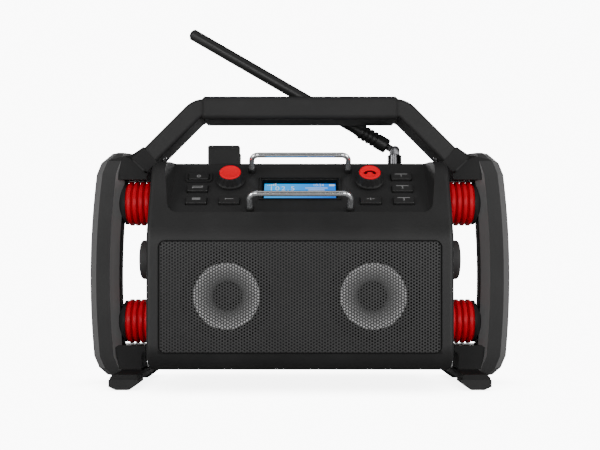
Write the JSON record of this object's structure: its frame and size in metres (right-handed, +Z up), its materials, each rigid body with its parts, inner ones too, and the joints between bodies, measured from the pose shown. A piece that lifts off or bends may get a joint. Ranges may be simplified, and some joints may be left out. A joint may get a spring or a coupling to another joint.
{
  "type": "jobsite radio",
  "caption": "Box radio hung on ribbed rubber shock mounts in a roll-cage carrying hoop, with a sloping control panel, a speaker grille and a fold-up aerial.",
  "frame": {"origin": "on the surface the radio stands on, midway between its sides and midway through its depth", "axes": "+X to the radio's right as seen from its front, +Y to its back, +Z up"},
  "size_m": [0.4266, 0.1791, 0.3733],
  "materials": {
    "housing_plastic": "fine-grained black moulded plastic",
    "frame_plastic": "black glass-filled plastic",
    "bumper_rubber": "dark grey moulded rubber",
    "grip_rubber": "soft black rubber",
    "red_rubber": "glossy red moulded rubber",
    "grille_steel": "black painted perforated steel",
    "speaker_steel": "black painted pressed steel",
    "magnet_ferrite": "ferrite magnet",
    "speaker_cone": "silver coated cone",
    "surround_rubber": "black rubber surround",
    "bright_chrome": "chrome plated tube",
    "button_plastic": "black button plastic",
    "knob_plastic": "black knob plastic",
    "red_plastic": "glossy red plastic",
    "window_clear": "clear display window",
    "lcd_glass": "blue lit display",
    "board_green": "circuit board",
    "pack_plastic": "battery pack case",
    "steel_bright": "machined steel",
    "aerial_rubber": "black flexible aerial"
  },
  "bodies": {
    "cage": {"bumper_left": "bumper_rubber", "bumper_right": "bumper_rubber", "foot_rail_left": "frame_plastic", "foot_rail_right": "frame_plastic", "handle_bar": "frame_plastic", "handle_grip": "grip_rubber", "handle_screws": "steel_bright", "rubber_feet": "grip_rubber", "shock_mount_lower_left": "red_rubber", "shock_mount_lower_right": "red_rubber", "shock_mount_upper_left": "red_rubber", "shock_mount_upper_right": "red_rubber", "side_frame_left": "frame_plastic", "side_frame_right": "frame_plastic"},
    "housing": {"antenna_clip": "housing_plastic", "antenna_socket": "housing_plastic", "battery_pack": "pack_plastic", "charge_socket": "knob_plastic", "display_bezel": "housing_plastic", "display_guard_front": "bright_chrome", "display_guard_rear": "bright_chrome", "display_window": "window_clear", "front_housing": "housing_plastic", "guard_feet": "knob_plastic", "housing_screws": "steel_bright", "keypad_board": "board_green", "lcd_module": "lcd_glass", "main_board": "board_green", "power_button_bezel": "housing_plastic", "rear_housing": "housing_plastic", "rotary_encoders": "steel_bright", "side_buffer_left": "grip_rubber", "side_buffer_right": "grip_rubber", "speaker_basket_left": "speaker_steel", "speaker_basket_right": "speaker_steel", "speaker_cone_left": "speaker_cone", "speaker_cone_right": "speaker_cone", "speaker_grille": "grille_steel", "speaker_magnet_left": "magnet_ferrite", "speaker_magnet_right": "magnet_ferrite", "speaker_surround_left": "surround_rubber", "speaker_surround_right": "surround_rubber"},
    "battery_door": {"battery_door": "housing_plastic"},
    "antenna_turret": {"antenna_turret": "steel_bright"},
    "antenna_whip": {"antenna_whip": "aerial_rubber"},
    "power_button": {"power_button": "button_plastic"},
    "source_button": {"source_button": "button_plastic"},
    "menu_button": {"menu_button": "button_plastic"},
    "back_button": {"back_button": "button_plastic"},
    "info_button": {"info_button": "button_plastic"},
    "preset_1_button": {"preset_1_button": "button_plastic"},
    "preset_2_button": {"preset_2_button": "button_plastic"},
    "preset_3_button": {"preset_3_button": "button_plastic"},
    "shaft_left": {"encoder_shaft_left": "steel_bright"},
    "knob_left": {"knob_left": "knob_plastic", "knob_cap_left": "red_plastic"},
    "shaft_right": {"encoder_shaft_right": "steel_bright"},
    "knob_right": {"knob_right": "knob_plastic", "knob_cap_right": "red_plastic"}
  },
  "joints": [
    {"name": "housing_bounce", "type": "slide", "parent": "cage", "child": "housing", "axis": [0, 0, 1], "range_m": [-0.003, 0.003], "stiffness_N_per_m": 9500, "springref_m": 0.00327},
    {"name": "battery_door_hinge", "type": "hinge", "parent": "housing", "child": "battery_door", "pos_m": [0.065, 0.087, 0.104], "axis": [0, 0, 1], "range_deg": [-110, 0]},
    {"name": "antenna_swivel", "type": "hinge", "parent": "housing", "child": "antenna_turret", "pos_m": [0.1018, 0.045, 0.2384], "axis": [0, 0, 1], "range_deg": [-180, 0]},
    {"name": "antenna_fold", "type": "hinge", "parent": "antenna_turret", "child": "antenna_whip", "pos_m": [0.1018, 0.045, 0.2435], "axis": [0, 1, 0], "range_deg": [-30, 60]},
    {"name": "power_button_press", "type": "slide", "parent": "housing", "child": "power_button", "axis": [0, 0.7071, -0.7071], "range_m": [0, 0.0012], "stiffness_N_per_m": 800, "springref_m": -0.0005},
    {"name": "source_button_press", "type": "slide", "parent": "housing", "child": "source_button", "axis": [0, 0.7071, -0.7071], "range_m": [0, 0.0012], "stiffness_N_per_m": 800, "springref_m": -0.0005},
    {"name": "menu_button_press", "type": "slide", "parent": "housing", "child": "menu_button", "axis": [0, 0.7071, -0.7071], "range_m": [0, 0.0012], "stiffness_N_per_m": 800, "springref_m": -0.0005},
    {"name": "back_button_press", "type": "slide", "parent": "housing", "child": "back_button", "axis": [0, 0.7071, -0.7071], "range_m": [0, 0.0012], "stiffness_N_per_m": 800, "springref_m": -0.0005},
    {"name": "info_button_press", "type": "slide", "parent": "housing", "child": "info_button", "axis": [0, 0.7071, -0.7071], "range_m": [0, 0.0012], "stiffness_N_per_m": 800, "springref_m": -0.0005},
    {"name": "preset_1_button_press", "type": "slide", "parent": "housing", "child": "preset_1_button", "axis": [0, 0.7071, -0.7071], "range_m": [0, 0.0012], "stiffness_N_per_m": 800, "springref_m": -0.0005},
    {"name": "preset_2_button_press", "type": "slide", "parent": "housing", "child": "preset_2_button", "axis": [0, 0.7071, -0.7071], "range_m": [0, 0.0012], "stiffness_N_per_m": 800, "springref_m": -0.0005},
    {"name": "preset_3_button_press", "type": "slide", "parent": "housing", "child": "preset_3_button", "axis": [0, 0.7071, -0.7071], "range_m": [0, 0.0012], "stiffness_N_per_m": 800, "springref_m": -0.0005},
    {"name": "knob_press_left", "type": "slide", "parent": "housing", "child": "shaft_left", "axis": [0, 0.7071, -0.7071], "range_m": [0, 0.0008], "stiffness_N_per_m": 1500, "springref_m": -0.0005},
    {"name": "knob_turn_left", "type": "hinge", "parent": "shaft_left", "child": "knob_left", "pos_m": [-0.0682, -0.04141, 0.20209], "axis": [0, -0.7071, 0.7071], "continuous": true},
    {"name": "knob_press_right", "type": "slide", "parent": "housing", "child": "shaft_right", "axis": [0, 0.7071, -0.7071], "range_m": [0, 0.0008], "stiffness_N_per_m": 1500, "springref_m": -0.0005},
    {"name": "knob_turn_right", "type": "hinge", "parent": "shaft_right", "child": "knob_right", "pos_m": [0.0682, -0.04141, 0.20209], "axis": [0, -0.7071, 0.7071], "continuous": true}
  ]
}
